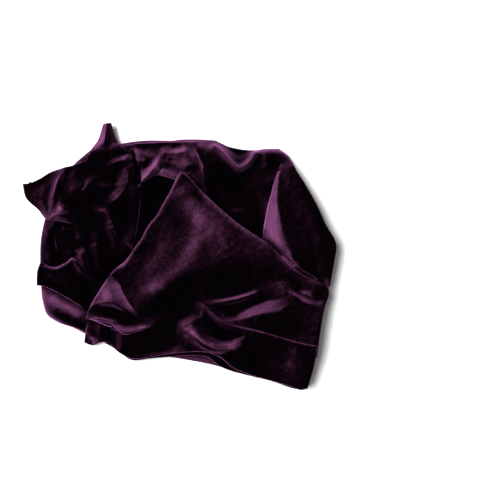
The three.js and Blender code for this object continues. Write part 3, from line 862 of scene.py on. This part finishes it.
FRONT_DRAPE = Layer(
    name="front_drape",
    cut=(240, 185),
    filled=0.58,
    lies="draped",
    on=("crown", "side_pleat", "crown_gather"),
    left=[(-90, -62), (-87, -51), (-82, -42), (-74, -31), (-66, -18), (-60, -12), (-52, -6),
          (-42, 8), (-36, 16), (-30, 28), (-21, 39), (-15, 50), (-7, 64), (-1, 77), (3, 83)],
    right=[(137, -101), (140, -78), (144, -54), (149, -34), (138, -25), (122, -18)],
    front=[(-90, -62), (-60, -72), (-30, -70), (6, -66), (24, -60), (44, -76), (81, -86),
           (137, -101)],
    back=[(3, 83), (9, 79), (20, 67), (40, 48), (60, 31), (81, 17), (89, 12), (99, 2), (113, -11),
          (122, -18)],
    creases=[
        held((-67, -19, 57), (-42, 8, 59), (-21, 39, 58), (-7, 64, 56), (3, 82, 55)),
        held((3, 82, 55), (20, 67, 53), (40, 48, 52), (60, 31, 52), (81, 17, 53), (99, 2, 56),
             (116, -13, 56)),
        held((-40, -58, 46), (-10, -54, 44), (14, -44, 44), (34, -36, 45), (56, -30, 45),
             (84, -25, 46), (108, -24, 48)),
        held((30, -45, 47), (44, -42, 48), (60, -38.5, 48), (75, -34, 48)),
        held((30, -48, 49), (42, -46, 53), (60, -42.5, 54), (77, -37, 52)),
        held((40, -52, 46), (60, -48, 45), (76, -42, 45), (86, -36, 46)),
        held((52, -65, 52), (68, -61, 58), (84, -57, 62), (98, -56, 62), (110, -49, 58)),
        held((56, -60, 46), (72, -51, 45), (86, -45, 45), (98, -43, 46), (108, -39, 48)),
        held((106, -35, 50), (112, -37, 56), (122, -44, 58), (134, -50, 54)),
        held((112, -32, 47), (124, -39, 48), (138, -45, 46)),
        held((120, -34, 49), (128, -37, 53), (138, -37, 51)),
        held((124, -24, 52), (138, -29, 52), (147, -33, 46)),
        held((60, -71, 54), (90, -72, 57), (120, -74, 53)),
    ],
    swells=[
        Fold([(-40, -42), (-24, -27), (-4, -12), (12, 0), (26, 18),
              (32, 36)], 4, 18, 24, 10, (0.25, 0.35)),
        Fold([(0, 68), (10, 48), (30, 24)], 3.5, 9, 9, 4, (0.2, 0.3)),
        Fold([(34, -12), (84, -20)], -3, 14, 10, 8, (0.3, 0.3)),
    ],
    wrinkles=[(17, 0.7, -40, 71), (6, 0.22, 40, 75)],
    stitches=[
        Stitches([(-64, -24), (-50, -4), (-26, 28), (-2, 67)], 7, 0.5, 1.6),
        Stitches([(8, 77), (40, 46), (84, 13)], 7, 0.5, 1.6),
    ],
    tucked=([(-90, -62), (-60, -72), (-30, -70), (6, -66), (24, -60), (44, -76), (81, -86),
             (106, -92)],),
    edge=2.6,
    sag=0.0025,
    soft=2,
    step=1.2,
    # Tone and strokes: painted light and painted shade.
    tone=0.4,
    brushes=[
        Brush([(-40, -26), (-24, -6), (-6, 20)], 6, 0.25),
        Brush([(-32, -34), (-10, -29)], 5, 0.3),
        Brush([(8, 62), (14, 48), (28, 26)], 8, 0.55),
        Brush([(24, 62), (34, 54)], 4, 0.3),
        Brush([(22, 63), (42, 46), (62, 29), (86, 12)], 3.5, 0.45),
        Brush([(14, 62), (24, 54)], 3, -0.35),
        Brush([(-42, -42), (-24, -29), (-6, -18), (8, -4), (16, 14), (24, 36)], 8, 0.52),
        Brush([(26, 48), (36, 22), (40, 4), (24, -8)], 13, 0.27),
        Brush([(-24, 6), (-6, 34)], 8, 0.15),
        Brush([(-30, -58), (-8, -36), (18, -18)], 8, -0.35),
        Brush([(96, -52), (108, -44), (124, -38)], 8, -0.45),
        Brush([(46, -57), (62, -60)], 4, -0.5),
        Brush([(38, -45.5), (60, -41), (76, -36)], 1.4, 0.5),
        Brush([(98, 2), (116, -14)], 3, 0.4),
        Brush([(111, -36), (122, -43), (131, -48)], 1.4, 0.8),
        Brush([(121, -36), (133, -39)], 2.2, 0.7),
        Brush([(126, -24), (136, -27), (147, -29)], 4, 0.25),
        Brush([(104, -20), (124, -31)], 5, -0.4),
        Brush([(20, -30), (60, -22), (100, -16)], 15, -0.45),
        Brush([(30, -40), (56, -35), (76, -28)], 5, -0.7),
        Brush([(-24, -58), (20, -50)], 12, -0.8),
        Brush([(40, -52), (70, -48), (96, -36)], 4, -0.5),
        Brush([(60, -68), (126, -74)], 10, -0.25),
        Brush([(-60, -14), (-52, -8)], 2.5, 0.5),
    ],
)
HEM_BAND = Layer(
    name="hem_band",
    cut=(230, 60),
    filled=0.76,
    lies="folded",
    on=("crown", "front_drape"),
    left=[(-68, -88), (-66, -64)],
    right=[(128, -131), (134, -110), (137, -89)],
    front=[(-68, -88), (-59, -96), (-46, -102), (-30, -100.5), (-9, -97), (26, -95), (43, -101),
           (53, -110), (71, -117.5), (91, -123.5), (106, -127.5), (121, -132.5), (128, -131)],
    back=[(-66, -64), (-40, -66), (-12, -62), (10, -54), (22, -46), (33, -55), (43, -63),
          (53, -67), (81, -74), (101, -80), (121, -86), (137, -89)],
    creases=[
        held((20, -46, 57), (33, -56, 59), (43, -64, 59), (53, -67, 59), (81, -74, 58),
             (101, -80, 55), (124, -86, 47)),
        held((20, -58, 50), (28, -72, 49), (36, -81, 49), (46, -84, 48), (57, -81, 48),
             (66, -77, 50)),
        held((30, -62, 49), (44, -72, 48), (60, -74, 50)),
        held((-4, -62, 48), (3, -67, 56), (12, -71, 60), (20, -80, 60), (30, -87, 60),
             (40, -89, 59), (52, -88, 57), (62, -84, 54), (70, -79, 52)),
        held((10, -75, 55), (20, -84, 54), (31, -92, 53), (42, -94, 53), (54, -91, 52)),
        held((1, -74, 50), (8, -79, 57), (18, -87, 58), (30, -95, 57), (42, -98, 54),
             (54, -93, 51)),
        held((-44, -76, 42), (-20, -70, 42), (-4, -68, 43), (-2, -78, 42)),
        raised((-50, -92, 2), (-20, -88, 3), (0, -88, 3)),
        raised((84, -100, 4), (108, -106, 4)),
    ],
    wrinkles=[(14, 0.5, -14, 83), (6, 0.25, 30, 85)],
    stitches=[Stitches([(56, -71), (81, -78), (101, -84), (130, -92)], 6, 0.7, 2.2)],
    tucked=("left", [(-66, -64), (-40, -66), (-12, -62), (8, -55), (14, -52)]),
    sag=0.006,
    soft=1,
    # Tone and strokes: painted light and painted shade.
    tone=0.12,
    brushes=[
        Brush([(8, -68), (14, -73), (22, -80)], 4.5, 0.6),
        Brush([(-6, -66), (-1, -76), (3, -92)], 5, -0.9),
        Brush([(6, -72), (14, -77), (22, -84), (31, -88), (42, -91), (54, -89),
               (68, -83)], 3, 0.85),
        Brush([(8, -79), (18, -87), (30, -94), (42, -96), (54, -92)], 2, 0.6),
        Brush([(46, -91), (56, -90), (66, -86)], 3, 0.6),
        Brush([(9, -86), (12, -98)], 4, -0.5),
        Brush([(14, -78), (24, -87), (34, -93)], 1.2, -0.8),
        Brush([(24, -48), (43, -65), (81, -75), (130, -89)], 1.2, 0.8),
        Brush([(-60, -68), (-20, -68), (-4, -62)], 8, -1.2),
        Brush([(36, -66), (44, -76), (58, -78)], 7, -0.7),
        Brush([(70, -100), (118, -116)], 16, 0.08),
        Brush([(-44, -88), (-10, -86)], 10, -0.6),
        Brush([(-44, -100), (-14, -97), (20, -95), (36, -98), (50, -107), (64, -114)], 1.6, 0.7),
        Brush([(60, -86), (80, -84)], 5, -0.3),
    ],
)
DRAPE_TURNBACK = Layer(
    name="drape_turnback",
    cut=(70, 62),
    filled=0.56,
    lies="folded",
    on=("front_drape",),
    left=[(-91, -62), (-90, -57), (-85, -48), (-76, -33), (-67, -19)],
    right=[(-22, -65), (-36, -59), (-46, -48), (-57, -29), (-65, -20)],
    front=[(-91, -62), (-80, -64), (-67, -67), (-59, -74), (-52, -78), (-40, -75), (-29, -71),
           (-22, -65)],
    back=[(-67, -19), (-65, -20)],
    creases=[
        raised((-87, -48, 4), (-76, -47, 8), (-64, -47, 10), (-54, -52, 9), (-39, -59, 4)),
        raised((-87, -53, 0.5), (-76, -51, 0.5), (-62, -52, 0.5), (-46, -60, 0.5)),
        raised((-91, -61, 3), (-77, -62, 4), (-62, -65, 5), (-50, -68, 6), (-38, -69, 5),
               (-24, -65, 3)),
        raised((-67, -20, 1), (-56, -33, 1), (-46, -49, 1)),
    ],
    tucked=("right", "back"),
    soft=1,
    step=0.8,
    # Tone and strokes: painted light and painted shade.
    tone=0.26,
    brushes=[
        Brush([(-67, -22), (-70, -34), (-76, -44)], 9, 0.6),
        Brush([(-64, -24), (-54, -40), (-42, -56)], 5, 0.7),
        Brush([(-62, -36), (-60, -46)], 8, 0.5),
        Brush([(-56, -44), (-42, -57)], 4, 0.4),
        Brush([(-86, -54), (-64, -55), (-46, -61)], 4, -1.4),
        Brush([(-66, -66), (-56, -72), (-44, -73), (-28, -68)], 4.5, 0.95),
        Brush([(-60, -66), (-46, -67)], 1.5, -0.6),
        Brush([(-89, -61), (-74, -62), (-64, -65)], 1.2, 0.6),
    ],
)
LAYERS = [UNDER_FOLD, CORNER_TAB, SIDE_PLEAT, CROWN_GATHER, KNOT, TAIL_SIDE, TAIL_UP, KNOT_CURL,
          FRONT_DRAPE, HEM_BAND, DRAPE_TURNBACK]

COARSEST = 8  # cells to a stride on the first, roughest pass
PASSES = 160
STARTS_ABOVE = 4  # height over the heap that a sheet starts to hang from
FAR_AWAY = 1000.0
HOLDS_WITHIN = 0.6  # how near a crease the cloth is held, in strides
WRINKLES_FULL = 8  # distance from a free edge where the wrinkles are full
EDGE_ROLL = 1.3  # width of a free edge's turn, as a share of its height


def points_along(edges, step):
    """How many points a grid needs over its longer edge, so that each pass can halve it."""
    edges = [np.array(edge, float) for edge in edges]
    longest = max(np.linalg.norm(np.diff(edge, axis=0), axis=1).sum() for edge in edges)
    return COARSEST * max(1, math.ceil(longest / step / COARSEST)) + 1


def crease_map(plan, creases, heap):
    """For each plan point, how far the nearest crease is and how high it holds the cloth."""
    closest = np.full(plan.shape[:2], np.inf)
    height = np.zeros(plan.shape[:2])
    for crease in creases:
        given = np.array(crease.line, float)
        if crease.over_heap:
            given[:, 2] += heap.level(given) + GAP + CLOTH
        line = smooth_line(given, CREASE_POINTS)
        distance, _, along = nearest(plan, line[:, :2])
        nearer = distance < closest
        closest = np.where(nearer, distance, closest)
        at = np.interp(along, np.linspace(0, 1, CREASE_POINTS), line[:, 2])
        height = np.where(nearer, at, height)
    return closest, height


def hang(layer, plan, rest, heap):
    """Heights of a sheet that hangs between its creases and lies on what is beneath it."""
    closest, held_at = crease_map(plan, layer.creases, heap)
    stride = COARSEST
    heights = rest[::stride, ::stride] + STARTS_ABOVE
    while True:
        floor = rest[::stride, ::stride]
        reach = layer.step * stride
        pinned = closest[::stride, ::stride] < HOLDS_WITHIN * reach
        target = np.maximum(held_at[::stride, ::stride], floor)
        drop = layer.sag * reach**2 / 4
        for _ in range(PASSES):
            heights = np.where(pinned, target, np.maximum(average(heights) - drop, floor))
        if stride == 1:
            return heights
        heights = refine(heights)
        stride //= 2


def distance_to_sides(plan, sides, wanted):
    """How far each plan point is from the nearest of the wanted sides."""
    lines = [sides[side] if isinstance(side, str) else smooth_line(side, SIDE_POINTS)
             for side in wanted]
    distances = [nearest(plan, line)[0] for line in lines]
    return np.min(distances, axis=0) if distances else np.full(plan.shape[:2], FAR_AWAY)


TUCK_DEPTH = 1.0  # a tucked side ends this much and its thickness below where it would lie
TUCK_REACH = 13.0  # how far from its side the tuck starts
DEEPEST_TUCK = 14.0  # how far a tucked side may dive from its own level


def lay(layer, heap):
    """Lays one sheet on the heap: its points, and how far each is from a tucked side."""
    columns = points_along((layer.front, layer.back), layer.step)
    rows = points_along((layer.left, layer.right), layer.step)
    plan = patch(layer.left, layer.right, layer.front, layer.back, columns, rows)
    rest = heap.level(plan) + GAP + CLOTH
    sides = {"front": plan[0], "right": plan[:, -1], "back": plan[-1], "left": plan[:, 0]}
    tucked = distance_to_sides(plan, sides, layer.tucked)
    free = distance_to_sides(plan, sides, [side for side in sides if side not in layer.tucked])
    heights = hang(layer, plan, rest, heap)
    for wrinkle in layer.wrinkles:
        heights = heights + crumple(plan, *wrinkle) * ease(0, WRINKLES_FULL, free)
    heights = soften(heights, layer.soft) + fine_crush(plan)
    heights = heights + sum(fold_rise(plan, swell) for swell in layer.swells)
    heights = heights + sum(pucker(plan, stitches) for stitches in layer.stitches)
    heights = heights + layer.edge * quarter_round(free, layer.edge * EDGE_ROLL)
    heights = soften(np.maximum(heights, rest), 1)
    sunk = np.maximum(rest - TUCK_DEPTH - CLOTH, heights - DEEPEST_TUCK)
    heights = sunk + (heights - sunk) * ease(0, TUCK_REACH, tucked)
    return np.concatenate([plan, heights[..., None]], -1), tucked


def make_layer(layer, heap):
    """One layer of velvet, laid on the heap and added to it."""
    points, tucked = lay(layer, heap)
    heap.add(points)
    # Painted light and sheen by facing, faded out where the sheet tucks under, over its tone, plus
    # painted highlights and shade along strokes.
    light = layer.tone + painted_light_by_facing(points) * ease(0, TUCK_REACH, tucked)
    light = light + sum(painted_stroke_shade(points[..., :2], stroke) for stroke in layer.brushes)
    return cloth_object(layer.name + "_velvet", points, light)


# ---- Velvet ------------------------------------------------------------------------------
def node(tree, kind, **values):
    """A new node with its settings and inputs set by name."""
    made = tree.nodes.new(kind)
    for key, value in values.items():
        if hasattr(made, key):
            setattr(made, key, value)
        else:
            made.inputs[key.replace("_", " ")].default_value = value
    return made


# Colour of the velvet for each value of its painted light: lit and shaded copies of the same
# aubergine, from painted shade to painted highlight.
LIGHTEST = 1.6
SHADED_TO_LIT_TONES = [
    (0.0, (0.0007, 0.0004, 0.0007, 1)),
    (0.25, (0.0018, 0.0007, 0.0014, 1)),
    (0.5, (0.0085, 0.0023, 0.0060, 1)),
    (0.75, (0.026, 0.0075, 0.019, 1)),
    (1.0, (0.058, 0.0175, 0.047, 1)),
    (1.3, (0.105, 0.032, 0.087, 1)),
    (LIGHTEST, (0.17, 0.053, 0.14, 1)),
]


# The mottle is the broad patchiness of the pile, and the grain is its tufts.
MOTTLE_CONTRAST = 0.6
GRAIN_CONTRAST = 0.8
VELVET = {
    "Sheen Weight": 1.0,
    "Sheen Roughness": 0.32,
    "Sheen Tint": (0.32, 0.1, 0.29, 1),
    "Specular IOR Level": 0.0,
    "Roughness": 0.7,
}


def broken_up(tree, shade, texture, contrast):
    """A shade made lighter and darker around itself by a texture."""
    centred = node(tree, "ShaderNodeMath", operation="SUBTRACT")
    tree.links.new(texture.outputs["Fac"], centred.inputs[0])
    centred.inputs[1].default_value = 0.5
    mixed = node(tree, "ShaderNodeMath", operation="MULTIPLY_ADD")
    tree.links.new(centred.outputs[0], mixed.inputs[0])
    mixed.inputs[1].default_value = contrast
    tree.links.new(shade, mixed.inputs[2])
    return mixed.outputs[0]


def painted_light_colour(tree, shade):
    """The velvet's colour for each shade, from painted shade to painted highlight."""
    scaled = node(tree, "ShaderNodeMath", operation="DIVIDE")
    tree.links.new(shade, scaled.inputs[0])
    scaled.inputs[1].default_value = LIGHTEST
    ramp = node(tree, "ShaderNodeValToRGB")
    tree.links.new(scaled.outputs[0], ramp.inputs["Fac"])
    stops = ramp.color_ramp.elements
    stops[0].position, stops[0].color = SHADED_TO_LIT_TONES[0]
    stops[1].color = SHADED_TO_LIT_TONES[-1][1]
    for lightness, colour in SHADED_TO_LIT_TONES[1:-1]:
        stops.new(lightness / LIGHTEST).color = colour
    return ramp.outputs["Color"]


def velvet_material():
    """Velvet whose colour carries its painted light and painted shade, broken up by mottle and
    grain, with a sheen where it turns away.
    """
    material = bpy.data.materials.new("aubergine_velvet")
    material.use_nodes = True
    tree = material.node_tree
    shader = tree.nodes["Principled BSDF"]
    for socket, value in VELVET.items():
        shader.inputs[socket].default_value = value

    place = node(tree, "ShaderNodeTexCoord")
    # the tone and the painted light and shade that each mesh carries
    pile = node(tree, "ShaderNodeAttribute", attribute_name="pile")
    mottle = node(tree, "ShaderNodeTexNoise", Scale=240.0, Detail=5.0, Roughness=0.6)
    grain = node(tree, "ShaderNodeTexNoise", Scale=900.0, Detail=3.0)
    for texture in (mottle, grain):
        tree.links.new(place.outputs["Object"], texture.inputs["Vector"])
    shade = broken_up(tree, pile.outputs["Fac"], mottle, MOTTLE_CONTRAST)
    shade = broken_up(tree, shade, grain, GRAIN_CONTRAST)
    tree.links.new(painted_light_colour(tree, shade), shader.inputs["Base Color"])

    bump = node(tree, "ShaderNodeBump", Strength=0.25, Distance=0.0006)
    tree.links.new(grain.outputs["Fac"], bump.inputs["Height"])
    tree.links.new(bump.outputs["Normal"], shader.inputs["Normal"])
    return material


# ---- The stage ------------------------------------------------------------------------------
FLOOR_REACH = 6  # metres from its middle to each edge
FLOOR_COLOUR = (0.93, 0.93, 0.92, 1)
FLOOR_ROUGHNESS = 0.9


def make_floor():
    """A plain pale floor, much wider than the heap."""
    made = bmesh.new()
    bmesh.ops.create_grid(made, x_segments=1, y_segments=1, size=FLOOR_REACH)
    mesh = bpy.data.meshes.new("pale_floor")
    made.to_mesh(mesh)
    made.free()
    floor = bpy.data.objects.new("pale_floor", mesh)
    bpy.context.collection.objects.link(floor)
    material = bpy.data.materials.new("pale_floor")
    material.use_nodes = True
    shader = material.node_tree.nodes["Principled BSDF"]
    shader.inputs["Base Color"].default_value = FLOOR_COLOUR
    shader.inputs["Roughness"].default_value = FLOOR_ROUGHNESS
    mesh.materials.append(material)


SUN_FROM = Vector((-0.46, 0.06, 1.95))
SUN_SPREAD = math.radians(18)
SUN_STRENGTH = 5.0
SKY_STRENGTH = 0.25


def make_lights():
    """One broad lamp from above and a little to the left, and an even pale sky."""
    data = bpy.data.lights.new("key", "SUN")
    data.energy = SUN_STRENGTH
    data.angle = SUN_SPREAD
    sun = bpy.data.objects.new("key", data)
    sun.location = SUN_FROM
    sun.rotation_euler = (-SUN_FROM).to_track_quat("-Z", "Y").to_euler()
    bpy.context.collection.objects.link(sun)
    world = bpy.data.worlds.new("studio")
    world.use_nodes = True
    sky = world.node_tree.nodes["Background"]
    sky.inputs["Color"].default_value = (1, 1, 1, 1)
    sky.inputs["Strength"].default_value = SKY_STRENGTH
    bpy.context.scene.world = world


CAMERA_AIM = Vector((0.0665, 0.0113, 0.02))
CAMERA_ELEVATION = math.radians(88)
CAMERA_DISTANCE = 2.2
VIEW_WIDTH = 0.488  # stretch of the table that the view takes in


def make_camera():
    """Looks down on the heap from almost straight above."""
    data = bpy.data.cameras.new("camera")
    data.lens = data.sensor_width * CAMERA_DISTANCE / VIEW_WIDTH
    camera = bpy.data.objects.new("camera", data)
    back = Vector((0, -math.cos(CAMERA_ELEVATION), math.sin(CAMERA_ELEVATION)))
    camera.location = CAMERA_AIM + back * CAMERA_DISTANCE
    camera.rotation_euler = (-back).to_track_quat("-Z", "Y").to_euler()
    bpy.context.collection.objects.link(camera)
    bpy.context.scene.camera = camera


def make_pieces():
    """The crown and every layer over it, in the order they lie, by the names of the parts."""
    heap = Heap()
    pieces = {"crown": make_crown(heap)}
    for layer in LAYERS:
        pieces[layer.name] = make_layer(layer, heap)
    return pieces


def main():
    bpy.context.scene.view_settings.view_transform = "Standard"
    make_floor()
    make_lights()
    make_camera()
    velvet = velvet_material()
    for name, piece in make_pieces().items():
        piece.data.materials.append(velvet)
        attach(piece, "root")
        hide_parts(name)


main()
